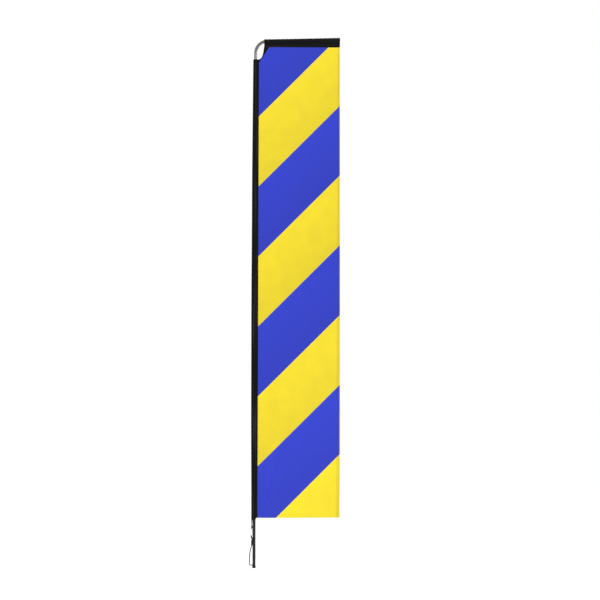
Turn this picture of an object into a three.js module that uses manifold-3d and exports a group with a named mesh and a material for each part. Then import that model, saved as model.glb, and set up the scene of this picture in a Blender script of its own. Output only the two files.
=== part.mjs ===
// A rectangular banner flag on a plug-in pole, in millimetres, +Z up.
// The origin is on the pole's axis at its bottom end, and +X points along the top arm.
import * as THREE from "three";
import { mergeVertices } from "three/addons/utils/BufferGeometryUtils.js";
import Module from "manifold-3d";

const wasm = await Module();
wasm.setup();

// Clearance between touching pieces.
const gap = 0.3;

// Tubes of the pole and the arm.
const tubeRadius = 13;
const tubeWall = 2;
const ferruleWall = 1.6;
const ferruleReach = 100; // how far a ferrule goes into each tube
const sectionCount = 4;
const roundSides = 32;

// Banner.
const footClear = 424; // bare pole under the banner
const printHeight = 3999;
const seamX = 25; // line where the panel meets the side sleeve
const printWidth = 688;
const flare = 14; // the panel is this much wider at its foot
const panelThickness = 2;
const cutWidth = 91; // cut-off corner, along the top seam
const cutHeight = 138; // and down the side seam
const billowDepth = 30;

// Sleeves.
const sleeveWall = 1.6;
const sleeveEase = 1.2; // clearance between a tube and the sleeve round it
const sideSlack = 15; // how far the side sleeve bulges away from the banner at its middle
const headSlack = 4; // and at its head
const footBulge = 0.15; // its foot starts this share of a half wave into the bulge
const sleeveFootDrop = 17; // the sleeve's foot hangs lower on the side away from the panel
const sideSleeveRise = 30; // the side sleeve ends this far above the foot of the cut corner
const topSleeveLead = 44; // and the top sleeve starts this far before its head

// Elbow and arm.
const armAboveSeam = 48;
const armRise = THREE.MathUtils.degToRad(1.3);
const bendRadius = 100;
const elbowLeg = 100;
const spigotToBend = 10; // the spigot stops this far below the bend
const bendToFerrule = 12; // and the arm's ferrule starts this far past it
const armOverhang = 2; // the top sleeve's closed end stands past the fly edge
const capFlange = 4;
const capReach = 25; // how far the cap's plug goes into the arm
const capBevel = 1.5;
const capToPatch = 2;
const patchThickness = 3;

// Foot collar.
const collarWall = 1.4;
const collarHeight = 20;
const collarFloor = 3;

// Rivets.
const rivetShank = 1.6;
const rivetHead = 3;
const rivetHeadHeight = 1;
const rivetBulb = 2.4;
const rivetBulbHeight = 3;
const rivetBevel = 0.6;
const rivetFromJoint = 60;
const swivelRing = 2; // shoulder of the spigot between the pole's top and the elbow

// Tension cord. Its pieces hang from the sleeve's foot beside the pole.
const cordRadius = 4;
const cordStandOff = 2; // clearance between the strand and the pole
const cordForward = 4; // the strand lies this far in front of the pole's axis
const tabHeight = 24;
const tabDepth = 20;
const tabSocket = 16; // the strand goes this far up into the tab
const strandShown = 25; // bare strand between the tab and the cord end
const cordEndLength = 24;
const cordEndWall = 2;
const socketDepth = 12;
const tongueWidth = 9;
const tongueThickness = 3;
const tongueDrop = 13;
const eyeEase = 1;
const linkWire = 1.8;
const linkHeight = 59;
const linkOut = 12; // the link's left side, away from the pole, and its right side, from the strand
const linkIn = 2.4;
const knotRadius = 16;
const knotHeight = 54;
const knotDrop = 20; // top of the knot under the link's bar
const knotStandOff = 0.6;
const knotBevel = 3;
const bightEase = 0.5; // clearance between the cord and the link's bar

// Places that follow from the sizes above.
const boreRadius = tubeRadius - tubeWall;
const ferruleRadius = boreRadius - gap;
const seamTop = footClear + printHeight;
const turn = Math.PI / 2 - armRise;
const bendCentreZ = seamTop + armAboveSeam - bendRadius * Math.sin(turn);
const bendEnd = new THREE.Vector3(
  bendRadius * (1 - Math.cos(turn)),
  0,
  seamTop + armAboveSeam,
);
const poleTop = bendCentreZ - elbowLeg;
const sectionLength = poleTop / sectionCount;
const flyTop = seamX + printWidth;
const sleeveRadius = tubeRadius + sleeveEase + sleeveWall;
const sideSleeveTop = seamTop - cutHeight + sideSleeveRise;
const topSleeveStart = seamX + cutWidth - topSleeveLead;
const topSleeveEnd = flyTop + armOverhang;
const sleeveFoot = footClear - sleeveFootDrop;
const cordX = -(tubeRadius + cordStandOff + cordRadius);
const tabFoot = sleeveFoot - gap - tabHeight;

const finishes = {
  darkTube: { color: 0x3b3b3a, roughness: 0.35, metalness: 0.8 },
  silver: { color: 0xc4c6c8, roughness: 0.3, metalness: 0.9 },
  plastic: { color: 0x161616, roughness: 0.6, metalness: 0 },
  blackCloth: { color: 0x141416, roughness: 0.9, metalness: 0 },
  print: { color: 0xf2d52c, roughness: 0.8, metalness: 0 },
  cord: { color: 0x101010, roughness: 0.85, metalness: 0 },
};

const banner = new THREE.Group();

// Adds one named piece to a group.
function add(name, geometry, finish, group = banner) {
  const material = new THREE.MeshStandardMaterial(finishes[finish]);
  const mesh = new THREE.Mesh(geometry, material);
  mesh.name = name;
  group.add(mesh);
  return mesh;
}

// Geometry to manifold-3d solid and back.
function solid(geometry) {
  const plain = geometry.clone();
  plain.deleteAttribute("normal");
  plain.deleteAttribute("uv");
  const merged = mergeVertices(plain, 1e-4);
  return new wasm.Manifold(
    new wasm.Mesh({
      numProp: 3,
      vertProperties: merged.attributes.position.array,
      triVerts: new Uint32Array(merged.index.array),
    }),
  );
}

function geometryOf(made) {
  const mesh = made.getMesh();
  const geometry = new THREE.BufferGeometry();
  geometry.setAttribute("position", new THREE.BufferAttribute(mesh.vertProperties, 3));
  geometry.setIndex(new THREE.BufferAttribute(mesh.triVerts, 1));
  return geometry;
}

function cut(geometry, ...tools) {
  return geometryOf(tools.reduce((left, tool) => left.subtract(solid(tool)), solid(geometry)));
}

function join(...pieces) {
  return geometryOf(pieces.map(solid).reduce((whole, piece) => whole.add(piece)));
}

// A solid of revolution about Z from a list of [radius, height] corners that closes on itself.
function turned(corners, sides = roundSides) {
  const points = corners.map(([r, z]) => new THREE.Vector2(r, z));
  points.push(points[0].clone());
  return new THREE.LatheGeometry(points, sides).rotateX(Math.PI / 2);
}

// A straight tube about Z between two heights.
function tube(outer, inner, low, high) {
  return turned([
    [inner, low],
    [outer, low],
    [outer, high],
    [inner, high],
  ]);
}

// A plain rod about Z.
function rod(radius, low, high, sides = roundSides) {
  const length = high - low;
  return new THREE.CylinderGeometry(radius, radius, length, sides)
    .rotateX(Math.PI / 2)
    .translate(0, 0, (low + high) / 2);
}

// A round section swept along a curve. An arc in a shape has twice its curveSegments.
function swept(curve, radius, steps, sides = 8, hole = 0) {
  const section = new THREE.Shape().absarc(0, 0, radius, 0, 2 * Math.PI);
  if (hole) section.holes.push(new THREE.Path().absarc(0, 0, hole, 0, 2 * Math.PI, true));
  return new THREE.ExtrudeGeometry(section, { steps, curveSegments: sides / 2, extrudePath: curve });
}

// A closed shell lofted through matching outer and inner rings of points.
function shell(outerRings, innerRings) {
  const count = outerRings[0].length;
  const rings = [...outerRings, ...innerRings.toReversed()];
  const positions = rings.flat().flatMap((p) => [p.x, p.y, p.z]);
  const index = [];
  rings.forEach((_, row) => {
    const next = (row + 1) % rings.length;
    for (let i = 0; i < count; i++) {
      const j = (i + 1) % count;
      const [a, b] = [row * count + i, row * count + j];
      const [c, d] = [next * count + i, next * count + j];
      index.push(a, b, d, a, d, c);
    }
  });
  const geometry = new THREE.BufferGeometry();
  geometry.setAttribute("position", new THREE.Float32BufferAttribute(positions, 3));
  return geometry.setIndex(index);
}

// Outline of a sleeve about its tube: a circle, drawn out to a seam at one side by tangent lines,
// with some slack on the other. Each point is [towards the seam, across].
function sleeveOutline(radius, seamDistance, slack, count = 28) {
  const tangent = Math.acos(radius / seamDistance);
  return Array.from({ length: count }, (_, i) => {
    const angle = (2 * Math.PI * i) / count;
    const fromSeam = Math.min(angle, 2 * Math.PI - angle);
    const tight = fromSeam < tangent ? radius / Math.cos(tangent - fromSeam) : radius;
    const reach = tight + slack * ((1 - Math.cos(angle)) / 2) ** 3;
    return [reach * Math.cos(angle), reach * Math.sin(angle)];
  });
}

// How far the panel stands behind the plane of pole and arm, for shares of its width and height.
function billow(across, down) {
  const held = across * (1 - Math.exp(-5 * down));
  return billowDepth * held * Math.sin(2 * Math.PI * (0.9 * down + 0.35 * across));
}

function addPole() {
  for (let n = 1; n <= sectionCount; n++) {
    const low = (n - 1) * sectionLength;
    const high = n * sectionLength;
    const bottom = n === 1 ? collarFloor + gap : low + gap;
    const isTop = n === sectionCount;
    const body = tube(tubeRadius, boreRadius, bottom, high);
    const rivetZ = high - rivetFromJoint;
    const hole = rivetHole(rivetZ);
    add(`pole_section_${n}`, isTop ? body : cut(body, hole), "darkTube");
    if (isTop) continue;
    const sleeve = tube(
      ferruleRadius,
      ferruleRadius - ferruleWall,
      high - ferruleReach,
      high + ferruleReach,
    );
    add(`ferrule_${n}`, cut(sleeve, hole), "silver");
    add(`ferrule_rivet_${n}`, rivet(rivetZ), "silver");
  }
  const collarRadius = tubeRadius + gap + collarWall;
  const collar = turned([
    [boreRadius, 0],
    [collarRadius, 0],
    [collarRadius, collarHeight],
    [tubeRadius + gap, collarHeight],
    [tubeRadius + gap, collarFloor],
    [boreRadius, collarFloor],
  ]);
  add("foot_collar", collar, "plastic");
}

// Rivets go in from the back, along -Y.
function rivetHole(height) {
  return rod(rivetShank + gap, 0, 2 * tubeRadius, 12)
    .rotateX(-Math.PI / 2)
    .translate(0, 0, height);
}

function rivet(height) {
  const headSeat = tubeRadius + gap;
  const bulbTop = ferruleRadius - ferruleWall - gap;
  const corners = [
    [0, bulbTop - rivetBulbHeight],
    [rivetBulb, bulbTop - rivetBulbHeight + rivetBevel],
    [rivetBulb, bulbTop - gap],
    [rivetShank, bulbTop],
    [rivetShank, headSeat],
    [rivetHead, headSeat],
    [rivetHead - rivetBevel, headSeat + 0.7 * rivetHeadHeight],
    [0, headSeat + rivetHeadHeight],
  ];
  const points = corners.map(([r, z]) => new THREE.Vector2(r, z));
  return new THREE.LatheGeometry(points, 12).translate(0, 0, height);
}

function addElbow() {
  const spigot = turned([
    [ferruleRadius - ferruleWall, poleTop - ferruleReach],
    [ferruleRadius, poleTop - ferruleReach],
    [ferruleRadius, poleTop + gap],
    [tubeRadius, poleTop + gap],
    [tubeRadius, poleTop + gap + swivelRing],
    [ferruleRadius, poleTop + gap + swivelRing],
    [ferruleRadius, poleTop + elbowLeg - spigotToBend],
    [ferruleRadius - ferruleWall, poleTop + elbowLeg - spigotToBend],
  ]);
  add("elbow_spigot", spigot, "silver");

  const along = new THREE.Vector3(Math.cos(armRise), 0, Math.sin(armRise));
  const path = new THREE.CurvePath();
  const legFoot = new THREE.Vector3(0, 0, poleTop + 2 * gap + swivelRing);
  const bendStart = new THREE.Vector3(0, 0, bendCentreZ);
  const armSocket = bendEnd.clone().addScaledVector(along, elbowLeg);
  path.add(new THREE.LineCurve3(legFoot, bendStart));
  path.add(new Bend());
  path.add(new THREE.LineCurve3(bendEnd, armSocket));
  add("corner_elbow", swept(path, tubeRadius, 30, 24, boreRadius), "silver");
}

// The elbow's quarter bend, from straight up to along the arm.
class Bend extends THREE.Curve {
  getPoint(share, target = new THREE.Vector3()) {
    const angle = share * turn;
    return target.set(
      bendRadius * (1 - Math.cos(angle)),
      0,
      bendCentreZ + bendRadius * Math.sin(angle),
    );
  }
}

// The arm is built along its own +Z from the end of the bend, in a group that lays it over.
function addArm() {
  const arm = new THREE.Group();
  arm.position.copy(bendEnd);
  arm.rotation.y = Math.PI / 2 - armRise;
  banner.add(arm);

  const start = elbowLeg + gap;
  const capEnd = (topSleeveEnd - patchThickness - capToPatch - bendEnd.x) / Math.cos(armRise);
  const end = capEnd - capFlange;
  const hole = rivetHole(0).translate(0, 0, start + rivetFromJoint);
  const ferrule = tube(
    ferruleRadius,
    ferruleRadius - ferruleWall,
    bendToFerrule,
    start + ferruleReach,
  );
  add("arm_tube", cut(tube(tubeRadius, boreRadius, start, end), hole), "silver", arm);
  add("arm_ferrule", cut(ferrule, hole), "silver", arm);
  add("arm_rivet", rivet(0).translate(0, 0, start + rivetFromJoint), "silver", arm);
  const cap = turned([
    [0, end - capReach],
    [ferruleRadius, end - capReach],
    [ferruleRadius, end + gap],
    [tubeRadius, end + gap],
    [tubeRadius, end + capFlange - capBevel],
    [tubeRadius - capBevel, end + capFlange],
    [0, end + capFlange],
  ]);
  add("arm_end_cap", cap, "plastic", arm);
}

function addSideSleeve() {
  const stations = 12;
  const rings = (shrink) =>
    Array.from({ length: stations + 1 }, (_, i) => {
      const share = i / stations;
      const height = sleeveFoot + (sideSleeveTop - sleeveFoot) * share;
      const bulge = Math.sin(Math.PI * (footBulge + (1 - footBulge) * share));
      const slack = headSlack + (sideSlack - headSlack) * bulge;
      const outline = sleeveOutline(sleeveRadius - shrink, seamX - gap - 2 * shrink, slack);
      return outline.map(([x, y]) => {
        const slope = share ? 0 : sleeveFootDrop * THREE.MathUtils.smoothstep(x, 0, seamX);
        return new THREE.Vector3(x, y, height + slope);
      });
    });
  add("side_sleeve", shell(rings(0), rings(sleeveWall)), "blackCloth");
}

// Height of the arm's axis above a place on X.
function armHeight(x) {
  return bendEnd.z + (x - bendEnd.x) * Math.tan(armRise);
}

function addTopSleeve() {
  const stations = 8;
  const end = topSleeveEnd - patchThickness - gap;
  const ring = (x, shrink) => {
    const centre = armHeight(x);
    const drop = centre - seamTop - gap - 2 * shrink;
    return sleeveOutline(sleeveRadius + 1 - shrink, drop, 0).map(
      ([down, across]) => new THREE.Vector3(x, across, centre - down),
    );
  };
  const rings = (shrink) =>
    Array.from({ length: stations + 1 }, (_, i) =>
      ring(topSleeveStart + ((end - topSleeveStart) * i) / stations, shrink),
    );
  add("top_sleeve", shell(rings(0), rings(sleeveWall)), "blackCloth");

  const centre = armHeight(topSleeveEnd);
  const outline = sleeveOutline(sleeveRadius + 1, centre - seamTop, 0).map(
    ([down, across]) => new THREE.Vector2(across, -down),
  );
  const patch = new THREE.ExtrudeGeometry(new THREE.Shape(outline), {
    depth: patchThickness,
    bevelEnabled: false,
  })
    .rotateX(Math.PI / 2)
    .rotateZ(Math.PI / 2)
    .translate(topSleeveEnd - patchThickness, 0, centre);
  add("end_patch", patch, "blackCloth");
}

function addPanel() {
  const [columns, rows] = [14, 40];
  const height = printHeight - gap;
  const panel = new THREE.BoxGeometry(1, panelThickness, height, columns, 1, rows);
  const position = panel.attributes.position;
  for (let i = 0; i < position.count; i++) {
    const across = position.getX(i) + 0.5;
    const down = 0.5 - position.getZ(i) / height;
    position.setX(i, seamX + across * (printWidth + flare * down));
    position.setY(i, position.getY(i) + billow(across, down));
    position.setZ(i, footClear + height * (1 - down));
  }
  // The cutter's slanting side runs on past both ends of the cut.
  const clear = gap * 2;
  const [low, high] = [seamTop - clear - 2 * cutHeight, seamTop - clear + cutHeight];
  const corner = new THREE.Shape([
    new THREE.Vector2(seamX - cutWidth, low),
    new THREE.Vector2(seamX + 2 * cutWidth, high),
    new THREE.Vector2(seamX - cutWidth, high),
  ]);
  const cutter = plate(corner, 2 * billowDepth);
  add("banner_panel", cut(panel, cutter), "print");
}

// A flat plate in the plane of pole and arm, from an outline in X and Z.
function plate(outline, thickness) {
  return new THREE.ExtrudeGeometry(outline, { depth: thickness, bevelEnabled: false, curveSegments: 10 })
    .rotateX(Math.PI / 2)
    .translate(0, thickness / 2, 0);
}

// The binding is a band along the cut corner whose outer edge is scooped towards the elbow.
function addCornerBinding() {
  const cutFoot = new THREE.Vector2(seamX, seamTop - cutHeight);
  const cutHead = new THREE.Vector2(seamX + cutWidth, seamTop);
  const outline = new THREE.Shape();
  outline.moveTo(cutFoot.x + gap, cutFoot.y + gap);
  outline.lineTo(cutHead.x - gap, cutHead.y - gap);
  outline.lineTo(topSleeveStart, seamTop - gap);
  outline.bezierCurveTo(
    topSleeveStart - 6,
    seamTop - 60,
    seamX + 30,
    sideSleeveTop + 6,
    seamX + gap,
    sideSleeveTop,
  );
  add("corner_binding", plate(outline, 3), "blackCloth");
}

// Everything on the tension cord is placed from the strand's axis at the foot of the tab.
function addTensionCord() {
  const tackle = new THREE.Group();
  tackle.position.set(cordX, -cordForward, tabFoot);
  banner.add(tackle);

  const tab = new THREE.BoxGeometry(2 * (cordRadius + 1), tabDepth, tabHeight);
  const socket = rod(cordRadius + gap, -5, tabSocket + gap, 16);
  add("sleeve_tab", cut(tab.translate(0, 0, tabHeight / 2), socket), "blackCloth", tackle);

  const endTop = -strandShown;
  const strand = rod(cordRadius, endTop - socketDepth + gap, tabSocket, 12);
  add("tension_cord", strand, "cord", tackle);

  const endFoot = endTop - cordEndLength;
  const endRadius = cordRadius + cordEndWall;
  const barrel = turned(
    [
      [0, endFoot],
      [endRadius - 1, endFoot],
      [endRadius, endFoot + 2],
      [endRadius, endTop - 1],
      [endRadius - 1, endTop],
      [cordRadius + gap, endTop],
      [cordRadius + gap, endTop - socketDepth],
      [0, endTop - socketDepth],
    ],
    20,
  );
  const rooted = 4; // the tongue goes this far up into the barrel
  const tongue = new THREE.BoxGeometry(tongueThickness, tongueWidth, tongueDrop + rooted);
  tongue.translate(0, 0, endFoot + (rooted - tongueDrop) / 2);
  const eyeHeight = endFoot - tongueDrop + tongueWidth / 2;
  const eye = rod(linkWire + eyeEase, -8, 8, 16)
    .rotateY(Math.PI / 2)
    .translate(0, 0, eyeHeight);
  add("cord_end", cut(join(barrel, tongue), eye), "plastic", tackle);

  const linkTop = eyeHeight - eyeEase + 2 * gap;
  addLink(tackle, linkTop);
  addKnottedLoop(tackle, linkTop - linkHeight);
}

// A bent-wire link hangs from the cord end's eye. Its two wire ends meet with a small gap at one side.
function addLink(tackle, top) {
  const foot = top - linkHeight;
  const shoulder = foot + 24;
  const corner = (x, z) => new THREE.Vector3(x, 0, z);
  const route = new THREE.CatmullRomCurve3(
    [
      corner(-linkOut, shoulder),
      corner(-linkOut, foot + 7),
      corner(4 - linkOut, foot + 1),
      corner(8 - linkOut, foot),
      corner(linkIn - 4, foot),
      corner(linkIn - 0.6, foot + 2.5),
      corner(linkIn, foot + 7),
      corner(linkIn + 0.2, shoulder),
      corner(4.2, top - 4),
      corner(1.8, top - 0.1),
      corner(-1.8, top - 0.1),
      corner(-5.4, top - 6),
      corner(-linkOut, shoulder + 0.5),
    ],
    false,
    "centripetal",
  );
  add("tension_link", swept(route, linkWire, 48), "silver", tackle);
}

// The knotted cord hangs from the middle of the link's bar. Its points are measured from there.
function addKnottedLoop(tackle, bar) {
  const loop = new THREE.Group();
  loop.position.set(8 - linkOut, 0, bar);
  tackle.add(loop);
  const route = (points) => new THREE.CatmullRomCurve3(points.map((p) => new THREE.Vector3(...p)));

  const knotFoot = -knotDrop - knotHeight;
  const knotX = 14;
  const knotY = -(tubeRadius + knotRadius + knotStandOff) + cordForward;
  const knot = turned(
    [
      [0, knotFoot],
      [knotRadius - knotBevel, knotFoot],
      [knotRadius, knotFoot + knotBevel],
      [knotRadius, -knotDrop - knotBevel],
      [knotRadius - knotBevel, -knotDrop],
      [0, -knotDrop],
    ],
    20,
  );
  add("loop_knot", knot.translate(knotX, knotY, 0), "cord", loop);

  const over = linkWire + cordRadius + bightEase;
  const upperEnd = 2 * gap - knotDrop;
  const upper = route([
    [15, -19, upperEnd],
    [15, -19, -16.5],
    [9, -12, -12],
    [5, -2, -9],
    [2, 5.5, -6],
    [0.5, over + 1.7, 0],
    [0, over - 1.3, over - 1.1],
    [-0.5, 0, over],
    [-1, 1.3 - over, over - 1.1],
    [-1.5, -over - 1.9, 0.5],
    [-1, -13, -6],
    [3, -20, -12],
    [6, -24, -16.5],
    [6, -24, upperEnd],
  ]);
  add("upper_bight", swept(upper, cordRadius, 26), "cord", loop);

  const lowerEnd = knotFoot - 2 * gap;
  const lower = route([
    [2.5, -24, lowerEnd],
    [2.5, -24, -79],
    [-5, -21, -101],
    [-10, -19, -126],
    [-13.5, -17.5, -166],
    [-15.5, -16.5, -204],
    [-16, -16.5, -224],
    [-11.5, -16.5, -235.5],
    [0, -16.5, -240],
    [11.5, -16.5, -235.5],
    [16, -16.5, -224],
    [16.5, -16.5, -186],
    [17, -17, -141],
    [18, -20, -101],
    [19, -23.5, -79],
    [19, -23.5, lowerEnd],
  ]);
  add("hanging_loop", swept(lower, cordRadius, 44), "cord", loop);
}

addPole();
addElbow();
addArm();
addSideSleeve();
addTopSleeve();
addPanel();
addCornerBinding();
addTensionCord();

export default banner;
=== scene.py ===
"""Looks of a rectangular banner flag on a plug-in pole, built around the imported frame. Metres, +Z up."""

import math

import bmesh
import bpy
from mathutils import Matrix, Vector


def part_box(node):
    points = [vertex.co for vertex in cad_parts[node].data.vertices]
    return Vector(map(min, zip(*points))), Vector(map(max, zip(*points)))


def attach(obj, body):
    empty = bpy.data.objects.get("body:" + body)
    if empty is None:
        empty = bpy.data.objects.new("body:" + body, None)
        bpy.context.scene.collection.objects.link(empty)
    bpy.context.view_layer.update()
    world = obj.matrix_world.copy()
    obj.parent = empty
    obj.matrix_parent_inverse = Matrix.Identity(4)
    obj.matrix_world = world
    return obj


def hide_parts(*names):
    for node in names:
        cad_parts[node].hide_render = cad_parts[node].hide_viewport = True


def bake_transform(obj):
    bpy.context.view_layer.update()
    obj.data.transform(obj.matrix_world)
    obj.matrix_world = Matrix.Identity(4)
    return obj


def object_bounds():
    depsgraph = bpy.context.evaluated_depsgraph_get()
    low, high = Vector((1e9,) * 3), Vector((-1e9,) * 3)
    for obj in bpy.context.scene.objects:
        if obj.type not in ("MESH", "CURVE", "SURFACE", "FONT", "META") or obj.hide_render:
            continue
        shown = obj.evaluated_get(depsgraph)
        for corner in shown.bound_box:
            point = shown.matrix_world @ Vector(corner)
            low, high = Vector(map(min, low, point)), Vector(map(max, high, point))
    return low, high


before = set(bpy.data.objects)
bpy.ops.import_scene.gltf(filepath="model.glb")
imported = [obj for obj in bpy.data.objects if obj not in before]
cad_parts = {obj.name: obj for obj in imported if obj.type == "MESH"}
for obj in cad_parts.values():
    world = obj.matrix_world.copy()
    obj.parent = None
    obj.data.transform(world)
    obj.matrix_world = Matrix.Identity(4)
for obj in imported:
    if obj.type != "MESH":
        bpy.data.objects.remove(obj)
cad_box = [list(corner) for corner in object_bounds()]

MM = 0.001
TAU = 2 * math.pi


# ---------------------------------------------------------------- sizes

# What the frame gives.
TUBE_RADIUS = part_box("pole_section_1")[1].x
PANEL_LOW, PANEL_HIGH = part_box("banner_panel")
SEAM_X = PANEL_LOW.x
SEAM_TOP = PANEL_HIGH.z
SLEEVE_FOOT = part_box("side_sleeve")[0].z
SLEEVE_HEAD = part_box("side_sleeve")[1].z
TOP_SLEEVE_START, TOP_SLEEVE_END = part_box("top_sleeve")[0].x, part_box("top_sleeve")[1].x
STRAND_LOW, STRAND_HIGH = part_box("tension_cord")
STRAND_X = (STRAND_LOW.x + STRAND_HIGH.x) / 2
STRAND_Y = (STRAND_LOW.y + STRAND_HIGH.y) / 2
CORD_RADIUS = (STRAND_HIGH.x - STRAND_LOW.x) / 2
LINK_LOW, LINK_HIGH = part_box("tension_link")
KNOT_LOW, KNOT_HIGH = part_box("loop_knot")

# What the design repeats from the part.
TUBE_WALL = 2 * MM
FERRULE_WALL = 1.6 * MM
PANEL_FLARE = 14 * MM
CUT_WIDTH = 91 * MM
CUT_HEIGHT = 138 * MM
BILLOW_DEPTH = 30 * MM
SLEEVE_RADIUS = 15.8 * MM
SLEEVE_FOOT_DROP = 17 * MM
LEAST_SLACK = 4 * MM
MOST_SLACK = 15 * MM
BEND_RADIUS = 100 * MM
ELBOW_LEG = 100 * MM
ARM_RISE = math.radians(1.3)
ARM_ABOVE_SEAM = 48 * MM
LINK_WIRE = 1.8 * MM
LINK_OUT, LINK_IN = 12, 2.4  # the link's sides from the strand's axis, in millimetres
GAP = 0.3 * MM  # between touching pieces
BEND_TO_FERRULE = 12 * MM
CAP_FLANGE = 4 * MM
CAP_REACH = 25 * MM
COLLAR_FLOOR = 3 * MM
SWIVEL_RING = 2 * MM
CORD_END_LENGTH = 24 * MM
SOCKET_DEPTH = 12 * MM
TONGUE_WIDTH = 9 * MM
TONGUE_THICKNESS = 3 * MM
TONGUE_DROP = 13 * MM
EYE_EASE = 1 * MM
BIGHT_EASE = 0.5  # in millimetres, as the knotted cord's points are

# Places that follow.
PANEL_HEIGHT = SEAM_TOP - PANEL_LOW.z
PRINT_WIDTH = PANEL_HIGH.x - SEAM_X - PANEL_FLARE
TURN = math.pi / 2 - ARM_RISE
BEND_FOOT = SEAM_TOP + ARM_ABOVE_SEAM - BEND_RADIUS * math.sin(TURN)
BEND_END = Vector((BEND_RADIUS * (1 - math.cos(TURN)), 0, SEAM_TOP + ARM_ABOVE_SEAM))
ARM_WAY = Vector((math.cos(ARM_RISE), 0, math.sin(ARM_RISE)))


# ---------------------------------------------------------------- camera, light and floor

CAMERA_DISTANCE = 14.0
VIEW_HEIGHT = 5.094  # height and width of the view at the object
CAMERA_ROLL = math.radians(0.2)


def add_camera():
    """A camera square to the banner's face, far back, turned a hair so that the pole leans a little."""
    data = bpy.data.cameras.new("camera")
    data.sensor_width = 36
    data.lens = data.sensor_width * CAMERA_DISTANCE / VIEW_HEIGHT
    data.clip_end = 100
    camera = bpy.data.objects.new("camera", data)
    level = Matrix.Rotation(math.pi / 2, 4, "X") @ Matrix.Rotation(CAMERA_ROLL, 4, "Z")
    camera.matrix_world = Matrix.Translation((0.383, -CAMERA_DISTANCE, 2.275)) @ level
    bpy.context.scene.collection.objects.link(camera)
    bpy.context.scene.camera = camera


def add_light(name, place, target, size, power):
    """A square soft light that faces a point."""
    data = bpy.data.lights.new(name, "AREA")
    data.size = size
    data.energy = power
    light = bpy.data.objects.new(name, data)
    light.location = place
    light.rotation_euler = (Vector(target) - Vector(place)).to_track_quat("-Z", "Y").to_euler()
    bpy.context.scene.collection.objects.link(light)


def add_world():
    """White to the camera, and a softer white as light."""
    world = bpy.data.worlds.new("studio")
    bpy.context.scene.world = world
    world.use_nodes = True
    nodes, links = world.node_tree.nodes, world.node_tree.links
    path = nodes.new("ShaderNodeLightPath")
    strength = nodes.new("ShaderNodeMapRange")
    strength.inputs["To Min"].default_value = 0.5
    strength.inputs["To Max"].default_value = 1.0
    background = nodes["Background"]
    background.inputs["Color"].default_value = (1, 1, 1, 1)
    links.new(path.outputs["Is Camera Ray"], strength.inputs["Value"])
    links.new(strength.outputs["Result"], background.inputs["Strength"])


# ---------------------------------------------------------------- meshes


def finish_mesh(name, mesh, look, sharp=35):
    """Turns a bmesh into a smooth-shaded piece with a material."""
    made = bpy.data.meshes.new(name)
    bmesh.ops.recalc_face_normals(mesh, faces=mesh.faces)
    mesh.to_mesh(made)
    mesh.free()
    made.shade_smooth()
    made.set_sharp_from_angle(angle=math.radians(sharp))
    made.materials.append(look)
    piece = bpy.data.objects.new(name, made)
    bpy.context.scene.collection.objects.link(piece)
    return piece


def add_rings(mesh, rings, along=False, capped=False):
    """Adds quads between rings of points. UVs hold metres round and along, for weaves and brushing."""
    layer = mesh.loops.layers.uv.get("Metres") or mesh.loops.layers.uv.new("Metres")
    rows = [[mesh.verts.new(point) for point in ring] for ring in rings]
    count = len(rows[0])
    span = range(len(rows) if along else len(rows) - 1)
    middle = rings[len(rings) // 2]
    across = [0.0]
    for i in range(count):
        across.append(across[-1] + (middle[(i + 1) % count] - middle[i]).length)
    down = [0.0]
    for k in range(len(rows)):
        after = rings[(k + 1) % len(rings)]
        down.append(down[-1] + (after[0] - rings[k][0]).length)
    for k in span:
        here, after = rows[k], rows[(k + 1) % len(rows)]
        for i in range(count):
            j = (i + 1) % count
            face = mesh.faces.new((here[i], here[j], after[j], after[i]))
            places = ((i, k), (i + 1, k), (i + 1, k + 1), (i, k + 1))
            for loop, (u, v) in zip(face.loops, places):
                loop[layer].uv = (across[u], down[v])
    if capped:
        mesh.faces.new(rows[0])
        mesh.faces.new(rows[-1])
    return rows


def ring_piece(name, rings, look, capped=True, along=False, sharp=35):
    """A piece lofted through closed rings."""
    mesh = bmesh.new()
    add_rings(mesh, rings, along=along, capped=capped)
    return finish_mesh(name, mesh, look, sharp)


def rounded(corners, steps=3):
    """A closed flat outline of (x, y, radius) corners, each turned into a short arc."""
    out = []
    for i, (x, y, reach) in enumerate(corners):
        here = Vector((x, y))
        if not reach:
            out.append(here)
            continue
        before = Vector(corners[i - 1][:2]) - here
        after = Vector(corners[(i + 1) % len(corners)][:2]) - here
        reach = min(reach, 0.45 * before.length, 0.45 * after.length)
        first = here + before.normalized() * reach
        last = here + after.normalized() * reach
        for step in range(steps + 1):
            t = step / steps
            out.append(first * (1 - t) ** 2 + here * 2 * t * (1 - t) + last * t * t)
    return out


def turned_rings(profile, sides):
    """Rings of a solid of revolution about Z, one for each angle, from a closed (radius, height) profile."""
    return [
        [Vector((r * math.cos(a), r * math.sin(a), z)) for r, z in profile]
        for a in (TAU * k / sides for k in range(sides))
    ]


def turned(name, corners, look, sides=64, edge=0.3 * MM, place=None):
    """A solid of revolution about Z with rounded edges. Points on the axis stay sharp and are merged."""
    profile = rounded([(r, z, edge if r else 0) for r, z in corners])
    mesh = bmesh.new()
    add_rings(mesh, turned_rings(profile, sides), along=True)
    bmesh.ops.remove_doubles(mesh, verts=mesh.verts, dist=1e-7)
    if place:
        bmesh.ops.transform(mesh, matrix=place, verts=mesh.verts)
    return finish_mesh(name, mesh, look)


def pipe(name, outer, inner, low, high, look, slot, place=None):
    """A straight tube about Z."""
    corners = [(inner, low), (outer, low), (outer, high), (inner, high)]
    return turned(name, corners, look, place=place)


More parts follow.
